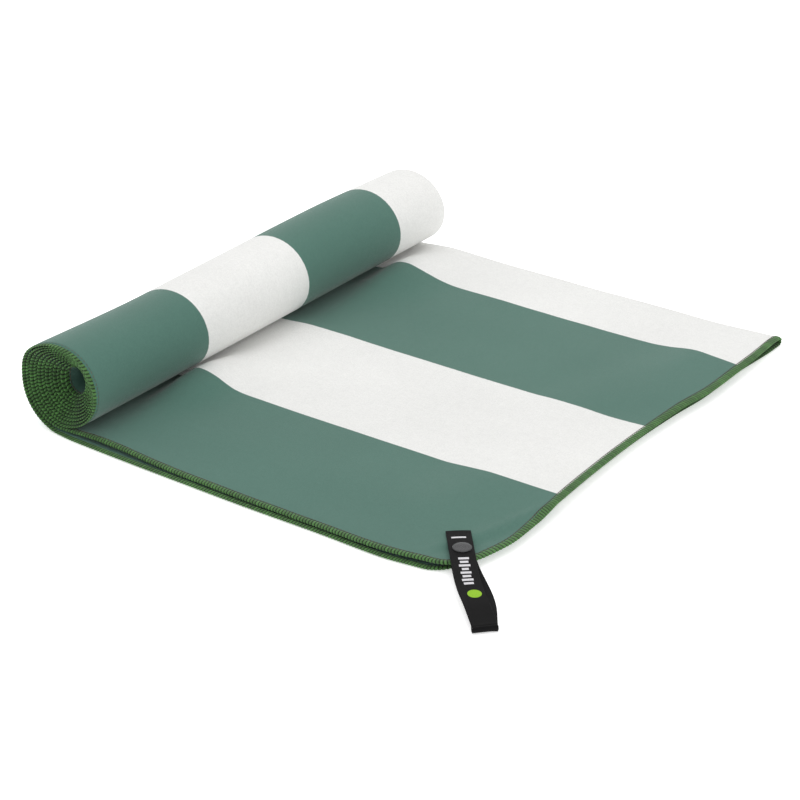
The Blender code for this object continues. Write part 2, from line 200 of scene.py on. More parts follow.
class RibbonSettings(bpy.types.PropertyGroup):
    width: length("Width", "Width of the ribbon", 0.016)
    thickness: length("Thickness", "Thickness of the ribbon", 0.0007)
    shift: length("Shift", "How far the snap sits along the loop from its modelled place", 0.003)
    reach: length("Reach", "From the snap to the far bend", 0.085)
    bend: length("Bend", "Radius of the far bend, to the ribbon's middle", 0.0017)
    angle: FloatProperty(name="Direction", description="Direction of the loop, from the long edge",
                         default=math.radians(-47.6), subtype="ANGLE")
    black: tint("Black", "Colour of the ribbon", (0.0034, 0.0032, 0.0035))
    print_white: tint("White print", "Colour of the printed bars", (0.72, 0.71, 0.74))
    print_green: tint("Green print", "Colour of the printed dot", (0.300, 0.560, 0.035))


class SnapSettings(bpy.types.PropertyGroup):
    cap_radius: length("Cap radius", "Radius of the two caps", (CAP_HIGH.x - CAP_LOW.x) / 2)
    settle: length("Settle", "How far the pressed snap closes up below its modelled height", 0.0010)
    teeth: IntProperty(name="Teeth", description="Gripping teeth under the rim of a cap",
                       default=14, min=3)
    plastic: tint("Plastic", "Colour of the snap", (0.034, 0.035, 0.037))


class StageSettings(bpy.types.PropertyGroup):
    floor: tint("Floor", "Colour of the floor", (0.96, 0.96, 0.96))
    key: FloatProperty(name="Key light", description="Power of the large light overhead",
                       default=12.4, unit="POWER")
    sky: FloatProperty(name="Sky", description="Strength of the even light all round",
                       default=0.86, min=0)


# ---------------------------------------------------------------- the sheet


def cloth_settings():
    return bpy.context.scene.towel_cloth


def mix(low, high, share):
    return low + (high - low) * share


def smooth(share):
    share = min(max(share, 0), 1)
    return share * share * (3 - 2 * share)


def table_value(rows, place):
    """The value at a place in (place, value) rows, on a smooth line through all of them."""
    if place <= rows[0][0]:
        return rows[0][1]
    if place >= rows[-1][0]:
        return rows[-1][1]
    i = bisect.bisect_right(rows, (place, math.inf)) - 1
    (x0, v0), (x1, v1) = rows[i], rows[i + 1]
    before, after = rows[max(i - 1, 0)], rows[min(i + 2, len(rows) - 1)]
    slope0 = (v1 - before[1]) / (x1 - before[0])
    slope1 = (after[1] - v0) / (after[0] - x0)
    t, gap = (place - x0) / (x1 - x0), x1 - x0
    return ((2 * t**3 - 3 * t * t + 1) * v0 + (t**3 - 2 * t * t + t) * gap * slope0
            + (3 * t * t - 2 * t**3) * v1 + (t**3 - t * t) * gap * slope1)


def origin():
    """Where the nip meets the near edge, in the shared frame."""
    cloth = cloth_settings()
    return Vector((FREE_END_HIGH.x - cloth.flat_length, TOP_HEM_LOW.y, 0))


def flat_run():
    """Along the sheet from its free end to under the roll's middle."""
    cloth = cloth_settings()
    return cloth.flat_length - cloth.overhang + cloth.near_width / 2


def roll_radius():
    """Mean radius of the roll's outermost turn."""
    cloth = cloth_settings()
    return (cloth.near_width + cloth.far_height) / 4


def roll_angle(along):
    """The angle turned round the roll at a distance along the sheet past the flat run."""
    radius = roll_radius()
    shrink = cloth_settings().roll_pitch / math.pi
    rest = along - flat_run()
    return (radius - math.sqrt(max(radius * radius - 2 * shrink * rest, 1e-9))) / shrink


def along_at(angle):
    """The distance along the sheet at an angle turned round the roll."""
    shrink = cloth_settings().roll_pitch / math.pi
    return flat_run() + roll_radius() * angle - shrink * angle * angle / 2


def sheet_length():
    """From the free end to the inner end of the sheet."""
    return along_at(TURN * cloth_settings().turns)


def flatness(along):
    """1 where the sheet lies flat and 0 where it is rolled up."""
    return smooth((flat_run() - along) / GATHER)


def layer_pitch(along):
    """From the middle of one layer to the middle of the other."""
    cloth = cloth_settings()
    return mix(cloth.roll_pitch, cloth.flat_pitch, flatness(along))


def bottom_across(along, y):
    """The distance across at which the bottom layer lies at y."""
    pitch = layer_pitch(along)
    return 2 * (cloth_settings().folded_width - pitch / 2) + math.pi * pitch / 2 - y


def crease(x, y):
    """Height of the soft crease near the free end, in millimetres from x and y in millimetres."""
    from_x, from_y = x - CREASE_START[0], y - CREASE_START[1]
    ahead_x, ahead_y = CREASE_AHEAD
    size = math.hypot(ahead_x, ahead_y)
    reach = (from_x * ahead_x + from_y * ahead_y) / size
    off = (from_x * ahead_y - from_y * ahead_x) / size
    if not (-20 < reach < CREASE_LENGTH and abs(off) < 24):
        return 0.0
    fade = smooth((reach - 4) / 25) * smooth((CREASE_LENGTH - reach) / 35)
    ridge = RIDGE_HEIGHT * math.exp(-(off / RIDGE_WIDTH) ** 2)
    hollow = HOLLOW_DEPTH * math.exp(-((off - HOLLOW_PLACE) / HOLLOW_WIDTH) ** 2)
    return fade * (ridge - hollow)


def flat_lift(x, y):
    """Height of the top layer's loose folds over its level part, in metres."""
    x, y = x * 1000, y * 1000
    band = tuple((place, table_value(rows, x)) for place, rows in TOP_LIFT)
    lift = table_value(band, max(y, 0)) + crease(x, y)
    # The unevenness fades out by the nip of the roll and round the near corner
    uneven = smooth(x / 30) * smooth(math.hypot(x - 292, y - 12) / 60)
    drift = noise.noise(Vector((x / 62, y / 48, 3.1)))
    ripple = noise.noise(Vector((x / 21 + y / 60, y / 34, 9.4)))
    return (lift + uneven * (0.55 * drift + 0.16 * ripple)) / 1000


def sheet_point(along, across, rise=0.0):
    """A point of the sheet. rise is measured from the sheet's middle out of its printed face."""
    cloth = cloth_settings()
    pitch = layer_pitch(along)
    radius = pitch / 2
    turn_y = cloth.folded_width - radius
    past = across - turn_y
    if past < 0:
        y, depth, side = across, pitch + rise, 1.0
    elif past < math.pi * radius:
        angle = past / radius
        y = turn_y + (radius + rise) * math.sin(angle)
        depth = radius + (radius + rise) * math.cos(angle)
        side = math.cos(angle)
    else:
        y, depth, side = turn_y - (past - math.pi * radius), -rise, -1.0
    top = (side + 1) / 2
    if along >= flat_run():
        return rolled_point(along, y, depth, top)
    start = cloth.overhang - cloth.near_width / 2
    x = cloth.flat_length - along
    middle_x = roll_middle(y)
    x = middle_x + (x - start) * (cloth.flat_length - middle_x) / (cloth.flat_length - start)
    return flat_point(x, y, cloth.thickness / 2 + depth, top)


def share_across(y):
    """0 at the near edge and 1 at the fold."""
    return min(max(y / cloth_settings().folded_width, 0), 1)


def roll_width(y):
    cloth = cloth_settings()
    return mix(cloth.near_width, cloth.far_width, share_across(y))


def roll_middle(y):
    """How far the roll's middle lies past the nip: less than 0, on the side of the roll."""
    return cloth_settings().overhang - roll_width(y) / 2


def rolled_point(along, y, depth, top):
    """A point in the roll. depth is measured inwards from the middle of the bottom layer, which
    is the outer one there."""
    cloth = cloth_settings()
    share = share_across(y)
    turned = roll_angle(along)
    done = turned / (TURN * cloth.turns)
    begun = smooth(turned / 1.2)
    height = mix(cloth.near_height, cloth.far_height, share)
    height += table_value(ROLL_RISE, y * 1000) / 1000
    half_width = (roll_width(y) - cloth.thickness) / 2 + cloth.roll_pitch
    half_height = (height - cloth.thickness + cloth.roll_pitch) / 2
    inwards = 2 * cloth.roll_pitch * turned / TURN + depth
    squash = mix(1, mix(cloth.squash, 1, share), begun)
    degrees = math.degrees(turned)
    near_bulge = table_value(ROLL_BULGE_NEAR, degrees % 360)
    far_bulge = table_value(ROLL_BULGE_FAR, degrees % 360)
    bulge = mix(near_bulge, far_bulge, share) / 1000
    bulge *= smooth(turned / 0.8) * (1 - 0.75 * done)
    dish = mix(cloth.near_dish, cloth.far_dish, share)
    creep = table_value(ROLL_CREEP, y * 1000) / 1000 * begun
    # The near edge's shape goes on round the start of the roll
    creep += edge_shift(-24 - degrees * 0.6, y, top)
    middle_z = cloth.thickness / 2 + half_height
    return origin() + Vector((
        roll_middle(y) - (half_width - inwards + bulge) * math.sin(turned),
        y + dish * done + creep,
        middle_z - (half_height - inwards * squash + bulge) * math.cos(turned),
    ))


def edge_shift(x, y, top):
    """How far the loose cloth lies off its straight line at x in millimetres and y in metres. It
    is most at the near edge. top is 1 on the top layer and 0 on the bottom one."""
    underlap = cloth_settings().underlap
    on_top = table_value(TOP_EDGE, x) / 1000
    on_bottom = table_value(BOTTOM_EDGE, x) / 1000 + underlap
    from_edge = max(y + underlap * (1 - top), 0)
    return mix(on_bottom, on_top, top) * math.exp(-(from_edge / EDGE_FADE) ** 2)


def flat_point(x, y, z, top):
    """A point of the flat part with the cloth's loose shape: top is 1 on the top layer, 0 on
    the bottom one, and between them round the fold."""
    cloth = cloth_settings()
    sway_reach, drop_reach = 0.075, 0.060
    from_end = cloth.flat_length - x
    end = smooth(1 - from_end / sway_reach)
    sway_x = table_value(END_SWAY, y * 1000) / 1000 * end * mix(0.8, 1.0, top)
    sway_x -= cloth.setback * (1 - top) * end * smooth((cloth.folded_width - y) / 0.060)
    # Near the free end the fold stands open like a drop
    drop = smooth(1 - from_end / drop_reach)
    open_fold = drop * math.exp(-(((y - cloth.folded_width + 0.004) / 0.022) ** 2))
    lift = flat_lift(x, y) * top + open_fold * 0.0004 * top
    sway_y = edge_shift(x * 1000, y, top)
    sway_y += drop * 0.0032 * smooth((y - cloth.folded_width + 0.020) / 0.020)
    return origin() + Vector((x + sway_x, y + sway_y, z + lift))


def hem_thickness(along):
    hem = bpy.context.scene.towel_hem
    return mix(hem.rolled_thickness, hem.thickness, flatness(along))


def hem_point(along, across, rise):
    """A point of a hem. Lying flat, the bottom layer's hem stands on the floor; rolled up, both
    hems stand inwards of the cloth's outer face."""
    cloth = cloth_settings()
    pitch = layer_pitch(along)
    bottom = smooth((across - cloth.folded_width + pitch / 2) / (math.pi * pitch / 2))
    rolled = 1 - flatness(along)
    inwards = (hem_thickness(along) - cloth.thickness) / 2
    return sheet_point(along, across, rise + inwards * ((1 - bottom) * rolled - bottom))


def corner_rounded(from_end, from_edge, radius):
    """Moves a point of a square corner into the same place of a rounded one."""
    if from_end >= radius or from_edge >= radius:
        return from_end, from_edge
    p, q = 1 - from_end / radius, 1 - from_edge / radius
    from_end = radius - radius * p * math.sqrt(1 - q * q / 2)
    from_edge = radius - radius * q * math.sqrt(1 - p * p / 2)
    return from_end, from_edge


# ---------------------------------------------------------------- making meshes


def finished_object(shape, name, looks, body, nodes=()):
    """Puts a finished bmesh into the scene as a piece, which rides on a body if one is given."""
    mesh = bpy.data.meshes.new(name)
    shape.to_mesh(mesh)
    shape.free()
    for look in looks:
        mesh.materials.append(look)
    mesh.shade_smooth()
    piece = bpy.data.objects.new(name, mesh)
    bpy.context.scene.collection.objects.link(piece)
    if body:
        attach(piece, body)
    if nodes:
        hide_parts(*nodes)
    return piece


def laid_grid(shape, columns, rows, place, layout, look=0):
    """A grid of columns and rows laid out by place(column, row), with layout(column, row) as
    its UV map. Rows that meet themselves are joined afterwards by the caller."""
    layer = shape.loops.layers.uv.get("Layout") or shape.loops.layers.uv.new("Layout")
    segments = columns - 1, rows - 1
    made = bmesh.ops.create_grid(shape, x_segments=segments[0], y_segments=segments[1],
                                 size=1)["verts"]
    shape.verts.index_update()
    spots = {}
    for vertex in made:
        column = round((vertex.co.x + 1) / 2 * segments[0])
        row = round((vertex.co.y + 1) / 2 * segments[1])
        spots[vertex.index] = column, row
        vertex.co = place(column, row)
    faces = {face for vertex in made for face in vertex.link_faces}
    for face in faces:
        face.material_index = look
        for loop in face.loops:
            loop[layer].uv = layout(*spots[loop.vert.index])


def close_up(shape):
    """Joins the seams, closes open ends and turns every face outwards."""
    bmesh.ops.remove_doubles(shape, verts=shape.verts[:], dist=2e-6)
    bmesh.ops.dissolve_degenerate(shape, edges=shape.edges[:], dist=1e-7)
    bmesh.ops.holes_fill(shape, edges=[edge for edge in shape.edges if edge.is_boundary], sides=0)
    bmesh.ops.recalc_face_normals(shape, faces=shape.faces[:])


def spun(shape, profile, centre, steps):
    """A round shape: a profile of (radius, height) points turned about an upright axis."""
    points = [shape.verts.new(centre + Vector((radius, 0, height))) for radius, height in profile]
    edges = [shape.edges.new(pair) for pair in zip(points, points[1:])]
    bmesh.ops.spin(shape, geom=points + edges, cent=centre, axis=(0, 0, 1), dvec=(0, 0, 0),
                   angle=TURN, steps=steps, use_merge=True, use_duplicate=False)


# ---------------------------------------------------------------- materials


def node_group(name, takes, gives, build):
    """An effect that several materials share. takes and gives are (name, kind, default) rows."""
    group = bpy.data.node_groups.get(name)
    if group:
        return group
    group = bpy.data.node_groups.new(name, "ShaderNodeTree")
    for title, kind, default in takes:
        made = group.interface.new_socket(title, in_out="INPUT", socket_type=kind)
        if default is not None:
            made.default_value = default
    for title, kind in gives:
        group.interface.new_socket(title, in_out="OUTPUT", socket_type=kind)
    entry = group.nodes.new("NodeGroupInput")
    leave = group.nodes.new("NodeGroupOutput")
    build(group, entry, leave)
    return group


def node(tree, kind, links=(), **settings):
    """A node with its settings, its inputs given as (input, value or socket) pairs."""
    made = tree.nodes.new("ShaderNode" + kind)
    for key, value in settings.items():
        setattr(made, key, value)
    for socket, value in links:
        if isinstance(value, bpy.types.NodeSocket):
            tree.links.new(value, made.inputs[socket])
        else:
            made.inputs[socket].default_value = value
    return made


def maths(tree, operation, *values, clamp=False):
    return node(tree, "Math", enumerate(values), operation=operation, use_clamp=clamp).outputs[0]


def vector_maths(tree, operation, *values):
    return node(tree, "VectorMath", enumerate(values), operation=operation).outputs[0]


def ranged(tree, value, low, high, to_low, to_high):
    made = node(tree, "MapRange", ((0, value), (1, low), (2, high), (3, to_low), (4, to_high)))
    made.interpolation_type = "SMOOTHSTEP"
    return made.outputs[0]


def blended(tree, factor, first, second, how="MIX"):
    made = node(tree, "Mix", data_type="RGBA", blend_type=how)
    for socket, value in ((0, factor), (6, first), (7, second)):
        if isinstance(value, bpy.types.NodeSocket):
            tree.links.new(value, made.inputs[socket])
        elif socket:
            made.inputs[socket].default_value = (*value, 1)
        else:
            made.inputs[socket].default_value = value
    return made.outputs[2]


def drift_group():
    """Uneven dye and handling: a slow cloud and a fine speckle round 1."""
    finer, speckle_share = 22.0, 0.55

    def build(group, entry, leave):
        coordinates, scale, amount = entry.outputs[:3]
        cloud = node(group, "TexNoise", (("Vector", coordinates), ("Scale", scale),
                                         ("Detail", 3.0), ("Roughness", 0.55)))
        fine = maths(group, "MULTIPLY", scale, finer)
        speckle = node(group, "TexNoise", (("Vector", coordinates), ("Scale", fine),
                                           ("Detail", 2.0)))
        both = maths(group, "MULTIPLY_ADD", speckle.outputs[0], speckle_share, cloud.outputs[0])
        centred = maths(group, "SUBTRACT", both, 0.5 + 0.5 * speckle_share)
        shade = maths(group, "MULTIPLY_ADD", centred, amount, 1.0)
        group.links.new(shade, leave.inputs[0])

    return node_group("Colour drift", (
        ("Coordinates", "NodeSocketVector", None), ("Scale", "NodeSocketFloat", 14.0),
        ("Amount", "NodeSocketFloat", 0.2)), (("Shade", "NodeSocketFloat"),), build)


def weave_group():
    """A plain weave: threads over and under each other, with slightly uneven spacing."""

    def build(group, entry, leave):
        coordinates, warp, weft = entry.outputs[:3]
        wander = node(group, "TexNoise", (("Vector", coordinates), ("Scale", 260.0),
                                          ("Detail", 1.0)))
        centred = vector_maths(group, "SUBTRACT", wander.outputs[1], (0.5, 0.5, 0.5))
        shift = node(group, "VectorMath", ((0, centred), ("Scale", 0.00016)), operation="SCALE")
        moved = vector_maths(group, "ADD", coordinates, shift.outputs[0])
        parts = node(group, "SeparateXYZ", ((0, moved),))
        waves = []
        for part, spacing in zip(parts.outputs, (warp, weft)):
            turns = maths(group, "DIVIDE", part, spacing)
            waves.append(maths(group, "SINE", maths(group, "MULTIPLY", turns, math.pi)))
        over = maths(group, "MULTIPLY", *waves)
        group.links.new(maths(group, "MULTIPLY_ADD", over, 0.5, 0.5), leave.inputs[0])
        group.links.new(maths(group, "ABSOLUTE", over), leave.inputs[1])

    return node_group("Plain weave", (
        ("Coordinates", "NodeSocketVector", None), ("Warp spacing", "NodeSocketFloat", 0.0004),
        ("Weft spacing", "NodeSocketFloat", 0.0004)),
        (("Height", "NodeSocketFloat"), ("Crowns", "NodeSocketFloat")), build)


def yarn_group():
    """Lying thread: each stitch is a round crown with a groove beside it, and its plies
    run along it. The Crown mask is used to paint shade into the groove. Coordinates are (along the
    row, round the thread)."""
    ply_turns, ply_twist, ply_height = 2600.0, 9.0, 0.16
    darkest, uneven = 0.78, 0.44

    def build(group, entry, leave):
        coordinates, stitch, slant = entry.outputs[:3]
        parts = node(group, "SeparateXYZ", ((0, coordinates),))
        along = maths(group, "DIVIDE", parts.outputs[0], stitch)
        phase = maths(group, "MULTIPLY_ADD", parts.outputs[1], slant, along)
        within = maths(group, "FRACT", phase)
        crown = maths(group, "SINE", maths(group, "MULTIPLY", within, math.pi))
        twist = maths(group, "MULTIPLY", within, ply_twist)
        plies = maths(group, "MULTIPLY_ADD", parts.outputs[1], ply_turns, twist)
        height = maths(group, "MULTIPLY_ADD", maths(group, "SINE", plies), ply_height, crown)
        which = maths(group, "FLOOR", phase)
        pick = node(group, "TexWhiteNoise", (("W", which),), noise_dimensions="1D")
        shade = maths(group, "MULTIPLY_ADD", pick.outputs[0], uneven, darkest)
        group.links.new(height, leave.inputs[0])
        group.links.new(ranged(group, crown, 0.15, 0.95, 0.0, 1.0), leave.inputs[1])
        group.links.new(shade, leave.inputs[2])

    return node_group("Lying yarn", (
        ("Coordinates", "NodeSocketVector", None), ("Stitch", "NodeSocketFloat", 0.002),
        ("Slant", "NodeSocketFloat", 60.0)),
        (("Height", "NodeSocketFloat"), ("Crown", "NodeSocketFloat"),
         ("Shade", "NodeSocketFloat")), build)


def bar_group():
    """A printed rectangle: 1 inside it and 0 outside, with a slightly soft edge."""
    soft = 0.00006

    def build(group, entry, leave):
        coordinates, centre, half_size = entry.outputs[:3]
        off = vector_maths(group, "ABSOLUTE", vector_maths(group, "SUBTRACT", coordinates, centre))
        inside = vector_maths(group, "SUBTRACT", half_size, off)
        parts = node(group, "SeparateXYZ", ((0, inside),))
        least = maths(group, "MINIMUM", parts.outputs[0], parts.outputs[1])
        group.links.new(ranged(group, least, -soft, soft, 0.0, 1.0), leave.inputs[0])

    return node_group("Printed bar", (
        ("Coordinates", "NodeSocketVector", None), ("Centre", "NodeSocketVector", (0, 0, 0)),
        ("Half size", "NodeSocketVector", (0.001, 0.001, 1))),
        (("Mask", "NodeSocketFloat"),), build)


def placed(tree, group, **values):
    made = tree.nodes.new("ShaderNodeGroup")
    made.node_tree = group
    for title, value in values.items():
        socket = made.inputs[title.replace("_", " ").capitalize()]
        if isinstance(value, bpy.types.NodeSocket):
            tree.links.new(value, socket)
        else:
            socket.default_value = value
    return made


def new_material(name, **values):
    """A material with a Principled shader, whose even values are set on its own sockets."""
    made = bpy.data.materials.new(name)
    made.use_nodes = True
    shader = made.node_tree.nodes["Principled BSDF"]
    for title, value in values.items():
        shader.inputs[title.replace("_", " ").title().replace("Ior", "IOR")].default_value = value
    return made, made.node_tree, shader


def bumped(tree, shader, height, distance, strength):
    bump = node(tree, "Bump", (("Height", height), ("Distance", distance), ("Strength", strength)))
    tree.links.new(bump.outputs[0], shader.inputs["Normal"])


def cloth_material():
    cloth = cloth_settings()
    made, tree, shader = new_material("striped microfibre", Sheen_Weight=0.28, Sheen_Roughness=0.45,
                                      Specular_IOR_Level=0.18)
    layout = node(tree, "UVMap", uv_map="Layout").outputs[0]
    parts = node(tree, "SeparateXYZ", ((0, layout),))
    # The stripes mirror about the fold
    off_fold = maths(tree, "SUBTRACT", parts.outputs[1], cloth.folded_width)
    from_edge = maths(tree, "SUBTRACT", cloth.folded_width, maths(tree, "ABSOLUTE", off_fold))
    bleed = node(tree, "TexNoise", (("Vector", layout), ("Scale", 900.0), ("Detail", 2.0)))
    from_edge = maths(tree, "MULTIPLY_ADD", bleed.outputs[0], 0.0006, from_edge)
    soft = 0.0003
    masks = []
    for count, start in enumerate((1.0, 0.0, 1.0)):
        edge = cloth.first_stripe + count * cloth.stripe
        masks.append(ranged(tree, from_edge, edge - soft, edge + soft, start, 1.0 - start))
    printed = maths(tree, "MULTIPLY_ADD", masks[1], masks[2], masks[0], clamp=True)
    color = blended(tree, printed, cloth.white, cloth.green)
    drift = placed(tree, drift_group(), Coordinates=layout, Scale=9.0, Amount=0.16).outputs[0]
    weave = placed(tree, weave_group(), Coordinates=layout, Warp_spacing=0.00042,
                   Weft_spacing=0.00036)
    nap = node(tree, "TexNoise", (("Vector", layout), ("Scale", 2300.0), ("Detail", 3.0),
                                  ("Roughness", 0.7)))
    mottle = node(tree, "TexNoise", (("Vector", layout), ("Scale", 640.0), ("Detail", 2.0),
                                     ("Roughness", 0.6)))
    shade = drift
    for value, low, high, to_low, to_high in (
        (nap.outputs[0], 0.3, 0.7, 0.90, 1.06),
        (mottle.outputs[0], 0.3, 0.7, 0.965, 1.03),
        # Painted shade: the cloth is darker between the weave's crowns, where its threads dip
        (weave.outputs["Crowns"], 0.0, 0.6, 0.93, 1.02),
    ):
        shade = maths(tree, "MULTIPLY", shade, ranged(tree, value, low, high, to_low, to_high))
    tree.links.new(blended(tree, 1.0, color, shade, "MULTIPLY"), shader.inputs["Base Color"])
    tree.links.new(ranged(tree, nap.outputs[0], 0.2, 0.8, 0.84, 0.98), shader.inputs["Roughness"])
    relief = maths(tree, "MULTIPLY_ADD", nap.outputs[0], 0.8, weave.outputs["Height"])
    bumped(tree, shader, relief, 0.00010, 0.8)
    return made


def thread_material(name, colour, stitch, slant, groove_shade):
    """Lying thread of one colour, with painted shade between two stitches. The last argument
    is how dark that painted shade gets.
    """
    made, tree, shader = new_material(name, Sheen_Weight=0.15, Specular_IOR_Level=0.35)
    layout = node(tree, "UVMap", uv_map="Layout").outputs[0]
    yarn = placed(tree, yarn_group(), Coordinates=layout, Stitch=stitch, Slant=slant)
    drift = placed(tree, drift_group(), Coordinates=layout, Scale=60.0, Amount=0.75).outputs[0]
    # Painted shade: the thread is darker in the grooves between its stitches
    painted_shade_factor = maths(tree, "MULTIPLY_ADD", yarn.outputs["Crown"], 1.0 - groove_shade, groove_shade)
    shade = maths(tree, "MULTIPLY", maths(tree, "MULTIPLY", painted_shade_factor, yarn.outputs["Shade"]), drift)
    tree.links.new(blended(tree, 1.0, colour, shade, "MULTIPLY"), shader.inputs["Base Color"])
    rough = ranged(tree, yarn.outputs["Crown"], 0.0, 1.0, 0.9, 0.62)
    tree.links.new(rough, shader.inputs["Roughness"])
    bumped(tree, shader, yarn.outputs["Height"], 0.00012, 0.8)
    return made


def ribbon_material():
    """Black satin ribbon. Its UV map is (distance from the snap, across from its middle)."""
    ribbon = bpy.context.scene.towel_ribbon
    made, tree, shader = new_material("black satin ribbon", Specular_IOR_Level=0.13)
    layout = node(tree, "UVMap", uv_map="Layout").outputs[0]
    weave = placed(tree, weave_group(), Coordinates=layout, Warp_spacing=0.00034,
                   Weft_spacing=0.00024)
    drift = placed(tree, drift_group(), Coordinates=layout, Scale=60.0, Amount=0.5).outputs[0]
    color = blended(tree, 1.0, ribbon.black, drift, "MULTIPLY")
    # A lone bar past the snap, a row of short bars and a dot
    bars = [((-0.0145, -0.0005), (0.0011, 0.0046))]
    first, step, half_bar = 0.0127, 0.0041, 0.0012
    for i, half in enumerate((0.0033, 0.0026, 0.0035, 0.0021, 0.0033, 0.0026, 0.0035, 0.0030)):
        bars.append(((first + step * i, 0.0002), (half_bar, half)))
    dot_centre, dot_radius = (0.0535, 0.0014, 0), 0.0043
    ink = None
    for (x, y), (half_x, half_y) in bars:
        mask = placed(tree, bar_group(), Coordinates=layout, Centre=(x, y, 0),
                      Half_size=(half_x, half_y, 1)).outputs[0]
        ink = mask if ink is None else maths(tree, "MAXIMUM", ink, mask)
    off_dot = node(tree, "VectorMath", ((0, layout), (1, dot_centre)), operation="DISTANCE")
    dot = ranged(tree, off_dot.outputs["Value"], dot_radius, dot_radius + 0.00015, 1.0, 0.0)
    worn = node(tree, "TexNoise", (("Vector", layout), ("Scale", 1500.0), ("Detail", 3.0)))
    held = ranged(tree, worn.outputs[0], 0.30, 0.42, 0.55, 1.0)
    color = blended(tree, maths(tree, "MULTIPLY", ink, held), color, ribbon.print_white)
    color = blended(tree, maths(tree, "MULTIPLY", dot, held), color, ribbon.print_green)
    tree.links.new(color, shader.inputs["Base Color"])
    rough = ranged(tree, weave.outputs["Crowns"], 0.0, 1.0, 0.72, 0.52)
    tree.links.new(rough, shader.inputs["Roughness"])
    bumped(tree, shader, weave.outputs["Height"], 0.00007, 0.8)
    return made


def plastic_material():
    """Moulded snap plastic with a fine orange peel and rubbed patches."""
    snap = bpy.context.scene.towel_snap
    made, tree, shader = new_material("grey snap plastic", Specular_IOR_Level=0.5)
    place = node(tree, "TexCoord").outputs["Object"]
    drift = placed(tree, drift_group(), Coordinates=place, Scale=120.0, Amount=0.12).outputs[0]
    tree.links.new(blended(tree, 1.0, snap.plastic, drift, "MULTIPLY"), shader.inputs["Base Color"])
    rubbed = node(tree, "TexNoise", (("Vector", place), ("Scale", 420.0), ("Detail", 4.0)))
    rough = ranged(tree, rubbed.outputs[0], 0.35, 0.7, 0.20, 0.30)
    tree.links.new(rough, shader.inputs["Roughness"])
    peel = node(tree, "TexNoise", (("Vector", place), ("Scale", 1400.0), ("Detail", 1.0)))
    bumped(tree, shader, peel.outputs[0], 0.00003, 0.6)
    return made


# ---------------------------------------------------------------- cloth


def spread(first, last, count):
    """A count of even places from first to last, with both in it."""
    return [mix(first, last, i / (count - 1)) for i in range(count)]


def roll_stops(end):
    """Distances along the sheet at even angles of the roll, up to a distance."""
    stops_in_turn = 42
    last = roll_angle(end)
    count = math.ceil(last / TURN * stops_in_turn)
    return [along_at(angle) for angle in spread(0, last, count + 1)[1:]]


class TOWEL_OT_cloth(bpy.types.Operator):
    """Make the folded and rolled sheet of striped microfibre"""

    bl_idname = "towel.cloth"
    bl_label = "Cloth"

    def execute(self, context):
        cloth = context.scene.towel_cloth
        # The hems cover the sheet's edges, which lie this far inside them
        inset = 0.0022
        # The grid is finer round the corners, on the loose end and by the nip
        corner, loose, nip = 0.024, 0.110, flat_run() - 0.090
        stops = spread(inset, corner, 8)[:-1] + spread(corner, loose, 22)[:-1]
        stops += spread(loose, nip, 22)[:-1] + spread(nip, flat_run(), 27)
        stops += roll_stops(sheet_length() - inset)
        folds, fold_span, before_fold, after_fold = 9, 0.0072, 0.376, 0.384
        top = spread(inset, corner, 8)[:-1] + spread(corner, before_fold, 60)
        turn = [math.pi * i / folds for i in range(folds + 1)]
        bottom = spread(after_fold, corner, 38)[1:]
        bottom += spread(corner - cloth.underlap, inset - cloth.underlap, 7)
        rows = [("top", y) for y in top]
        rows += [("fold", angle) for angle in turn]
        rows += [("bottom", y) for y in bottom]

        def across(along, row):
            pitch = layer_pitch(along)
            turn_y = cloth.folded_width - pitch / 2
            kind, value = rows[row]
            if kind == "top":
                return value
            if kind == "fold":
                return turn_y + value * pitch / 2
            return bottom_across(along, value)

        def place(column, row):
            along, (kind, value) = stops[column], rows[row]
            past = cloth.underlap if kind == "bottom" else 0
            if kind == "fold" or max(along, value + past) >= cloth.corner:
                return sheet_point(along, across(along, row))
            from_end, from_edge = corner_rounded(along - inset, value + past - inset,
                                                 cloth.corner - inset)
            along, value = from_end + inset, from_edge + inset - past
            return sheet_point(along, value if kind == "top" else bottom_across(along, value))

        def layout(column, row):
            kind, value = rows[row]
            if kind == "fold":
                value = cloth.folded_width + fold_span * (value / math.pi - 0.5)
            elif kind == "bottom":
                value = 2 * cloth.folded_width - value
            return stops[column], value

        shape = bmesh.new()
        laid_grid(shape, len(stops), len(rows), place, layout)
        bmesh.ops.recalc_face_normals(shape, faces=shape.faces[:])
        piece = finished_object(shape, "striped_cloth", [cloth_material()], "towel",
                                ["towel_cloth"])
        wall = piece.modifiers.new("Cloth thickness", "SOLIDIFY")
        wall.thickness = cloth.thickness
        wall.offset = 0
        wall.use_rim = True
        return {"FINISHED"}


# ---------------------------------------------------------------- hems


def hem_band(shape, stations, width, hem):
    """An overlocked edge. stations are (distance, point, along) rows, where point(inwards, rise)
    gives a place at a distance in from the finished edge and out of the printed face."""
    ring = 12

    def section(distance, row, half_rise):
        angle = TURN * row / ring
        cos, sin = math.cos(angle), math.sin(angle)
        phase = distance / hem.stitch + STITCH_LEAN * row / ring * 2
        crown = abs(math.sin(math.pi * phase)) ** 0.7
        inwards = width / 2 + width / 2 * math.copysign(abs(cos) ** 0.75, cos)
        rise = half_rise * math.copysign(abs(sin) ** 0.9, sin) * (0.60 + 0.40 * crown)
        # Stitches stand out of both edges of the band, with notches between them
        outer = smooth(1 - inwards / (width * 0.45))
        inner = smooth((inwards / width - 0.66) / 0.34)
        inwards += outer * (0.00040 - 0.00075 * crown) - inner * 0.0009 * (1 - crown)
        return inwards, rise

    def place(column, row):
        distance, point, along = stations[column]
        return point(*section(distance, row % ring, hem_thickness(along) / 2))

    def layout(column, row):
        return stations[column][0], row / ring * 2 * width

    laid_grid(shape, len(stations), ring + 1, place, layout)


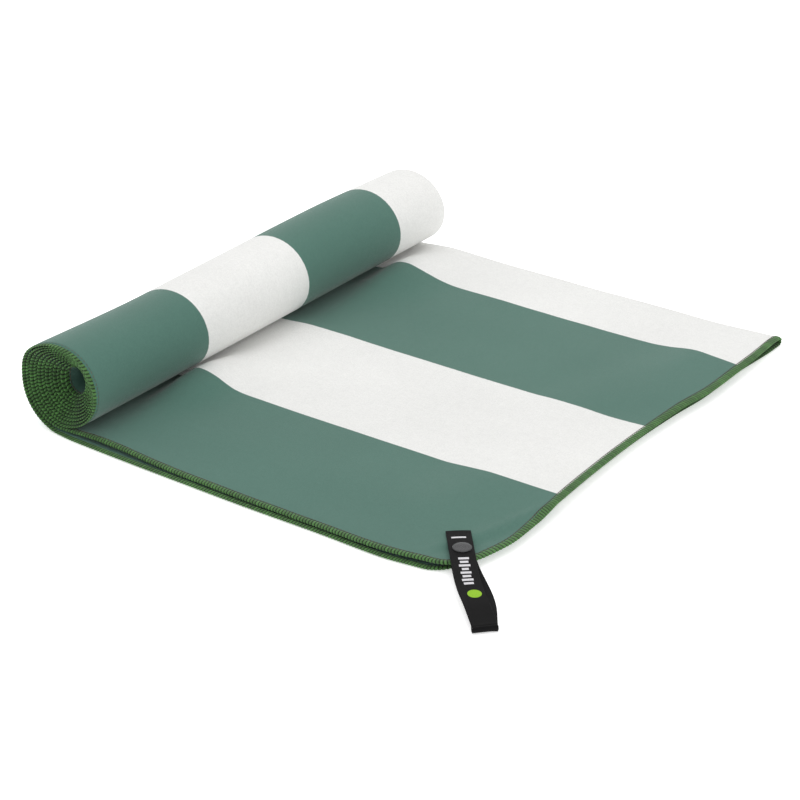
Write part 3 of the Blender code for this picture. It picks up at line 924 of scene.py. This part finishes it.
def needle_line(shape, stations, inwards, hem):
    """The row of needle stitches beside the band, on the printed face of the cloth."""
    ring = 5
    cloth = cloth_settings()

    def place(column, row):
        distance, point, _ = stations[column]
        angle = TURN * row / ring
        within = (distance / hem.needle_stitch) % 1
        arc = math.sin(math.pi * within) ** 0.45
        up = cloth.thickness / 2 - hem.needle_radius * 0.9 + hem.needle_radius * 1.6 * arc
        radius = hem.needle_radius * (0.55 + 0.45 * arc)
        return point(inwards + radius * 1.2 * math.cos(angle), up + radius * math.sin(angle))

    def layout(column, row):
        return stations[column][0], row / ring * TURN * hem.needle_radius

    laid_grid(shape, len(stations), ring + 1, place, layout, look=1)


def every(first, last, step):
    """Even places from first to last, about a step apart."""
    return spread(first, last, max(2, round(abs(last - first) / step) + 1))


def long_edge(on_top, step):
    """Stations along a long edge, from the middle of the rounded corner to the inner end."""
    cloth = cloth_settings()
    radius, edge = cloth.corner, 0.0 if on_top else -cloth.underlap
    arc = radius * math.pi / 4

    def to_point(along, y, rise):
        across = y if on_top else bottom_across(along, y)
        return hem_point(along, across, rise)

    found = []
    for travelled in every(0, arc, step)[:-1]:
        angle = math.pi / 4 - travelled / radius

        def on_corner(inwards, rise, angle=angle):
            reach = radius - inwards
            along = radius - reach * math.sin(angle)
            return to_point(along, edge + radius - reach * math.cos(angle), rise)

        found.append((travelled, on_corner, 0.0))
    for along in every(radius, sheet_length(), step):

        def on_edge(inwards, rise, along=along):
            return to_point(along, edge + inwards, rise)

        found.append((arc + along - radius, on_edge, along))
    return found


def free_end(step):
    """Stations across the free end, from the middle of one rounded corner to the other."""
    cloth = cloth_settings()
    radius = cloth.corner
    arc = radius * math.pi / 4
    low, high = radius, bottom_across(0, radius - cloth.underlap)
    found = []
    for travelled in every(0, arc, step)[:-1]:
        angle = math.pi / 4 + travelled / radius

        def on_top(inwards, rise, angle=angle):
            reach = radius - inwards
            along = radius - reach * math.sin(angle)
            return hem_point(along, radius - reach * math.cos(angle), rise)

        found.append((travelled, on_top, 0.0))
    for across in every(low, high, step):

        def between(inwards, rise, across=across):
            return hem_point(inwards, across, rise)

        found.append((arc + across - low, between, 0.0))
    for travelled in every(0, arc, step)[1:]:
        angle = math.pi / 2 - travelled / radius

        def below(inwards, rise, angle=angle):
            reach = radius - inwards
            along = radius - reach * math.sin(angle)
            y = radius - cloth.underlap - reach * math.cos(angle)
            return hem_point(along, bottom_across(along, y), rise)

        found.append((arc + high - low + travelled, below, 0.0))
    return found


def inner_end(step):
    """Stations across the end at the core of the roll, from one long hem to the other."""
    cloth = cloth_settings()
    last = sheet_length()
    low = bpy.context.scene.towel_hem.width + 0.0003
    high = bottom_across(last, low - cloth.underlap)
    found = []
    for across in every(low, high, step):

        def between(inwards, rise, across=across):
            return hem_point(last - inwards, across, rise)

        found.append((across, between, last))
    return found


class TOWEL_OT_hems(bpy.types.Operator):
    """Make the overlocked hems along all four edges, with their needle stitches"""

    bl_idname = "towel.hems"
    bl_label = "Hems"

    def execute(self, context):
        hem = context.scene.towel_hem
        step = hem.stitch / 6
        green = thread_material("green overlock thread", hem.thread, hem.stitch,
                                STITCH_LEAN / hem.width, 0.14)
        brown = thread_material("brown needle thread", hem.needle, hem.needle_stitch, 0.0, 0.45)
        rows = (
            ("overlocked_top_edge", long_edge(True, step), hem.width, "hem_top_long_edge"),
            ("overlocked_bottom_edge", long_edge(False, step), hem.width, "hem_bottom_long_edge"),
            ("overlocked_free_end", free_end(step), hem.end_width, "hem_free_end"),
            ("overlocked_inner_end", inner_end(step), hem.width, "hem_inner_end"),
        )
        for name, stations, width, cad_node in rows:
            shape = bmesh.new()
            hem_band(shape, stations, width, hem)
            needle_line(shape, stations, width, hem)
            close_up(shape)
            finished_object(shape, name, [green, brown], "towel", [cad_node])
        return {"FINISHED"}


# ---------------------------------------------------------------- hanging loop


def loop_frame():
    """The loop's own frame: its x runs from the snap to the far bend, its y across the ribbon."""
    ribbon = bpy.context.scene.towel_ribbon
    turned = Matrix.Translation(SNAP) @ Matrix.Rotation(ribbon.angle, 4, "Z")
    return turned @ Matrix.Translation((ribbon.shift, 0, 0))


# Rise of the ribbon's middle over the floor and its sideways bow, by the distance from the snap,
# in millimetres, first of the sewn run and then of the free run
SEWN_HEIGHT = (
    (-14, 3.9), (-4, 3.9), (6.2, 3.9), (18.6, 2.9), (27, 1.7), (35, 1.05), (44, 0.6), (53, 0.4),
    (70, 0.4), (88, 0.4),
)
SEWN_BOW = (
    (-14, 0), (0, 0), (16, 0.8), (32, 3.4), (46, 5.0), (60, 4.8), (74, 3.2), (85, 2.0), (92, 1.7),
)
FREE_HEIGHT = (
    (-27, 7.1), (-21, 7.3), (-14.8, 7.8), (-10, 8.3), (-6.2, 8.5), (0, 8.5), (6.2, 8.5),
    (14, 8.3), (26.4, 7.9), (40, 7.5), (53, 7.2), (64, 6.5), (72, 5.4), (78, 4.5), (82, 4.0),
    (85, 3.8), (90, 3.8),
)
FREE_BOW = (
    (-27, 1.0), (-14, 0.3), (0, -0.5), (12, -1.0), (24, -1.6), (37, -1.8), (50, -1.4),
    (62, -0.3), (74, 0.9), (85, 2.0), (92, 2.3),
)
SEWN_START, FREE_START = -0.014, -0.0245
# Moves the sewn run's UV map off the print
OFF_PRINT = 0.5


def ribbon_strip(shape, path, to_frame):
    """A flat woven strip with rounded selvedges along a path of (distance, centre, across,
    normal, curl) rows. curl is how far the selvedges turn up."""
    ribbon = bpy.context.scene.towel_ribbon
    half, thick = ribbon.width / 2, ribbon.thickness
    edge = thick * 0.62
    inner = half - edge
    shares = (-1, -0.8, -0.55, -0.25, 0, 0.25, 0.55, 0.8, 1)
    ring = []
    for side in (1, -1):
        ring += [(side * inner * share, side * thick / 2) for share in shares]
        for i in range(1, 4):
            angle = math.pi / 2 - math.pi * i / 4
            ring.append((side * (inner + edge * math.cos(angle)), side * edge * math.sin(angle)))
    count = len(ring)

    def place(column, row):
        _, centre, across, normal, curl = path[column]
        side, rise = ring[row % count]
        return to_frame @ (centre + across * side + normal * (rise + curl * (side / half) ** 2))

    def layout(column, row):
        return path[column][0], ring[row % count][0]

    laid_grid(shape, len(path), count + 1, place, layout)


def run_path(heights, bows, places, off_print):
    """Centres and directions of a run of ribbon at some distances from the snap. off_print is
    added to the distances in its UV map."""
    path = []
    for place in places:
        mm = place * 1000
        centre = Vector((place, table_value(bows, mm) / 1000, table_value(heights, mm) / 1000))
        # The slope from 1 mm before to 1 mm after
        bow = table_value(bows, mm + 1) - table_value(bows, mm - 1)
        climb = table_value(heights, mm + 1) - table_value(heights, mm - 1)
        ahead = Vector((2, bow, climb)).normalized()
        across = Vector((-ahead.y, ahead.x, 0)).normalized()
        curl = 0.00022 * math.sin(mm * 0.11) - 0.00012
        path.append((place + off_print, centre, across, ahead.cross(across), curl))
    return path


def bend_path():
    """The far bend, from the sewn run below to the free run above."""
    ribbon = bpy.context.scene.towel_ribbon
    reach, radius = ribbon.reach, ribbon.bend
    off_floor = 0.00005
    mm, steps = reach * 1000, 14
    bow = table_value(FREE_BOW, mm)
    lean = bow - table_value(FREE_BOW, mm - 1)
    across = Vector((-lean, 1, 0)).normalized()
    middle = Vector((reach, bow / 1000, ribbon.thickness / 2 + radius + off_floor))
    path = []
    for angle in spread(-math.pi / 2, math.pi / 2, steps + 1):
        cos, sin = math.cos(angle), math.sin(angle)
        centre = middle + Vector((cos, lean * cos, sin)) * radius
        travelled = radius * (angle + math.pi / 2)
        path.append((reach + travelled, centre, across, Vector((cos, 0, sin)), 0.0))
    return path


class TOWEL_OT_ribbon(bpy.types.Operator):
    """Make the black ribbon: its sewn run, its far bend and its free run"""

    bl_idname = "towel.ribbon"
    bl_label = "Hanging loop"

    def execute(self, context):
        ribbon = context.scene.towel_ribbon
        look = ribbon_material()
        to_frame = loop_frame()
        reach = ribbon.reach
        sewn = run_path(SEWN_HEIGHT, SEWN_BOW, spread(SEWN_START, reach, 70), OFF_PRINT)
        free = run_path(FREE_HEIGHT, FREE_BOW, spread(FREE_START, reach, 78), 0.0)
        rows = (
            ("ribbon_sewn_run", sewn, "towel", ["loop_sewn_run"]),
            ("ribbon_bend", bend_path(), None, []),
            ("ribbon_free_run", free, "free_run", ["loop_free_run"]),
        )
        for name, path, body, nodes in rows:
            shape = bmesh.new()
            ribbon_strip(shape, path, to_frame)
            close_up(shape)
            piece = finished_object(shape, name, [look], body, nodes)
            if body is None:
                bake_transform(piece)
        return {"FINISHED"}


# ---------------------------------------------------------------- snap


class TOWEL_OT_snap(bpy.types.Operator):
    """Make the four parts of the snap fastener"""

    bl_idname = "towel.snap"
    bl_label = "Snap"

    def execute(self, context):
        snap = context.scene.towel_snap
        look = plastic_material()
        face = CAP_HIGH.z - snap.settle
        self.cap("snap_face_cap", "snap_front_cap", "free_run", snap, face, 1, look)
        self.cap("snap_rear_cap", "snap_back_cap", "towel", snap, BACK_LOW.z, -1, look)
        self.socket(snap, look)
        self.stud(snap, look)
        return {"FINISHED"}

    def cap(self, name, cad_node, body, snap, face, side, look):
        """A domed cap whose face is at a height, looking up or down, with teeth under its rim."""
        low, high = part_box(cad_node)
        radius = snap.cap_radius
        rim = 0.0014 if side > 0 else 0.0011
        back = face - side * rim
        tip = low.z - snap.settle if side > 0 else high.z
        prong, tooth = 0.0009, 0.00022
        # Shares of the radius and of the rim's depth, from the middle of the face to the back
        dome = ((0, 0), (0.20, 0.006), (0.42, 0.045), (0.62, 0.13), (0.78, 0.25), (0.89, 0.39),
                (0.955, 0.52), (0.99, 0.66), (1.0, 0.78), (0.985, 0.90), (0.95, 0.97),
                (0.90, 1.0), (0.80, 0.985), (0.74, 0.90), (0.70, 0.90))
        points = [(radius * r, face - side * rim * z) for r, z in dome]
        points += [(prong * 1.8, back + side * rim * 0.1), (prong * 1.15, back),
                   (prong, back - side * 0.0004), (prong * 0.9, tip + side * 0.0002),
                   (prong * 0.5, tip), (0, tip)]
        shape = bmesh.new()
        middle = loop_frame().translation
        spun(shape, points, middle, 56)
        bmesh.ops.remove_doubles(shape, verts=shape.verts[:], dist=1e-6)
        for vertex in shape.verts:
            away = vertex.co - middle
            reach = math.hypot(away.x, away.y)
            if abs(vertex.co.z - back) < rim * 0.12 and 0.74 * radius < reach < 0.99 * radius:
                bump = max(0, math.cos(snap.teeth * math.atan2(away.y, away.x))) ** 2
                vertex.co.z -= side * tooth * bump
        bmesh.ops.recalc_face_normals(shape, faces=shape.faces[:])
        return finished_object(shape, name, [look], body, [cad_node])

    def socket(self, snap, look):
        """The ring that grips the stud, with a groove round its lower face."""
        low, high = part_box("snap_socket")
        radius, height = (high.x - low.x) / 2, high.z - low.z
        mouth, hole = 0.0021, 0.0012
        profile = (
            (hole, 1.0), (0.45 * radius, 1.0), (0.82 * radius, 1.0), (0.90 * radius, 0.96),
            (0.97 * radius, 0.84), (radius, 0.68), (radius, 0.30), (0.97 * radius, 0.12),
            (0.91 * radius, 0.02), (0.80 * radius, 0), (0.72 * radius, 0.10),
            (0.60 * radius, 0.12), (0.52 * radius, 0), (mouth * 1.06, 0.0), (mouth, 0.07),
            (mouth, 0.76), (hole, 0.765), (hole, 1.0),
        )
        shape = bmesh.new()
        base = low.z - snap.settle * 0.4
        spun(shape, [(r, base + height * z) for r, z in profile], loop_frame().translation, 48)
        close_up(shape)
        return finished_object(shape, "snap_ring", [look], "free_run", ["snap_socket"])

    def stud(self, snap, look):
        """The knob on its flange, which the ring snaps over."""
        low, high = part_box("snap_stud")
        radius, height = (high.x - low.x) / 2, high.z - low.z
        hole, knob = 0.0012, 0.0018
        profile = (
            (hole, 1.0), (knob * 0.80, 1.0), (knob * 0.94, 0.94), (knob, 0.84),
            (knob * 0.99, 0.72), (knob * 0.90, 0.50), (knob * 0.92, 0.38), (knob * 1.12, 0.335),
            (0.80 * radius, 0.325), (0.93 * radius, 0.30), (radius, 0.20), (radius, 0.06),
            (0.97 * radius, 0), (hole, 0), (hole, 1.0),
        )
        shape = bmesh.new()
        base = low.z - snap.settle * 0.15
        spun(shape, [(r, base + height * z) for r, z in profile], loop_frame().translation, 48)
        close_up(shape)
        return finished_object(shape, "snap_knob", [look], "towel", ["snap_stud"])


# ---------------------------------------------------------------- bar tacks


class TOWEL_OT_tacks(bpy.types.Operator):
    """Make the two bar tacks that hold the sewn run to the cloth"""

    bl_idname = "towel.tacks"
    bl_label = "Bar tacks"

    stitches = 24
    half_length = 0.0058
    half_width = 0.0008
    lean = 0.00014

    def execute(self, context):
        look = thread_material("black sewing thread", (0.014, 0.014, 0.015), 0.0004, 900.0, 0.4)
        to_frame = loop_frame()
        for number in (1, 2):
            cad_node = f"bar_tack_{number}"
            low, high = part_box(cad_node)
            middle = to_frame.inverted() @ ((low + high) / 2)
            height = high.z - low.z
            shape = bmesh.new()
            for i, y in enumerate(spread(-self.half_length, self.half_length, self.stitches)):
                slant = self.lean * (1 if i % 2 else -1)
                self.stitch(shape, to_frame, middle + Vector((0, y, 0)), slant, height)
            close_up(shape)
            finished_object(shape, f"bar_tack_stitches_{number}", [look], "towel", [cad_node])
        return {"FINISHED"}

    def stitch(self, shape, to_frame, middle, slant, height):
        """One thread over the tack, from one side down into the cloth on the other."""
        columns, ring, radius = 9, 6, 0.00022
        half_width = self.half_width
        floor = middle.z - height / 2

        def place(column, row):
            share = column / (columns - 1) * 2 - 1
            angle = TURN * row / ring
            arch = (1 - share * share) ** 0.5
            thin = radius * (0.45 + 0.55 * arch)
            centre = Vector((middle.x + half_width * share, middle.y + slant * share,
                             floor + thin + (height - 2 * radius) * arch))
            return to_frame @ (centre + Vector((0, thin * math.cos(angle), thin * math.sin(angle))))

        def layout(column, row):
            return column / (columns - 1) * 2 * half_width, row / ring * TURN * radius

        laid_grid(shape, columns, ring + 1, place, layout)


# ---------------------------------------------------------------- stage


class TOWEL_OT_stage(bpy.types.Operator):
    """Make the floor, the studio light and the camera"""

    bl_idname = "towel.stage"
    bl_label = "Stage"

    def execute(self, context):
        stage = context.scene.towel_stage
        shape = bmesh.new()
        bmesh.ops.create_grid(shape, x_segments=1, y_segments=1, size=30)
        bmesh.ops.translate(shape, verts=shape.verts, vec=(0, 0, -0.0002))
        look, _, shader = new_material("pale floor", Roughness=0.9, Emission_Color=(1, 1, 1, 1),
                                       Emission_Strength=0.45)
        shader.inputs["Base Color"].default_value = (*stage.floor, 1)
        finished_object(shape, "floor", [look], None)
        self.light("overhead", (-0.35, 0.50, 1.9), 2.4, stage.key)
        self.light("side", (1.9, -0.9, 1.1), 1.6, stage.key * 0.18)
        world = bpy.data.worlds.new("studio")
        context.scene.world = world
        world.use_nodes = True
        sky = world.node_tree.nodes["Background"]
        sky.inputs[0].default_value = (1, 1, 1, 1)
        sky.inputs[1].default_value = stage.sky
        self.camera(context)
        context.scene.view_settings.view_transform = "Standard"
        return {"FINISHED"}

    def light(self, name, place, size, power):
        """A square light that looks at the middle of the floor."""
        data = bpy.data.lights.new(name, "AREA")
        data.size = size
        data.energy = power
        lamp = bpy.data.objects.new(name, data)
        lamp.location = place
        lamp.rotation_mode = "QUATERNION"
        lamp.rotation_quaternion = (-Vector(place)).to_track_quat("-Z", "Y")
        bpy.context.scene.collection.objects.link(lamp)

    def camera(self, context):
        data = bpy.data.cameras.new("camera")
        data.lens = 117.1
        data.sensor_width = 36
        eye = bpy.data.objects.new("camera", data)
        yaw, pitch = math.radians(125.86), math.radians(26.34)
        level = Vector((math.cos(yaw), math.sin(yaw), 0))
        ahead = level * math.cos(pitch) - Vector((0, 0, math.sin(pitch)))
        eye.location = (0.9300, -1.3456, 0.8024)
        eye.rotation_mode = "QUATERNION"
        eye.rotation_quaternion = ahead.to_track_quat("-Z", "Y")
        context.scene.collection.objects.link(eye)
        context.scene.camera = eye


# ---------------------------------------------------------------- the add-on


OPERATORS = (
    TOWEL_OT_stage, TOWEL_OT_cloth, TOWEL_OT_hems, TOWEL_OT_ribbon, TOWEL_OT_snap,
    TOWEL_OT_tacks,
)
GROUPS = {
    "towel_cloth": ClothSettings,
    "towel_hem": HemSettings,
    "towel_ribbon": RibbonSettings,
    "towel_snap": SnapSettings,
    "towel_stage": StageSettings,
}


class TOWEL_PT_panel(bpy.types.Panel):
    """Lists the towel's pieces and their settings"""

    bl_idname = "TOWEL_PT_panel"
    bl_label = "Quick-dry towel"
    bl_space_type = "VIEW_3D"
    bl_region_type = "UI"
    bl_category = "Towel"

    def draw(self, context):
        for operator in OPERATORS:
            self.layout.operator(operator.bl_idname)
        for name, group in GROUPS.items():
            box = self.layout.box()
            for key in group.__annotations__:
                box.prop(getattr(context.scene, name), key)


def register():
    for name, group in GROUPS.items():
        bpy.utils.register_class(group)
        setattr(bpy.types.Scene, name, PointerProperty(type=group))
    for made in (*OPERATORS, TOWEL_PT_panel):
        bpy.utils.register_class(made)


def unregister():
    for made in (TOWEL_PT_panel, *reversed(OPERATORS)):
        bpy.utils.unregister_class(made)
    for name, group in GROUPS.items():
        delattr(bpy.types.Scene, name)
        bpy.utils.unregister_class(group)


def main():
    register()
    for operator in OPERATORS:
        group, name = operator.bl_idname.split(".")
        getattr(getattr(bpy.ops, group), name)()


if __name__ == "__main__":
    main()
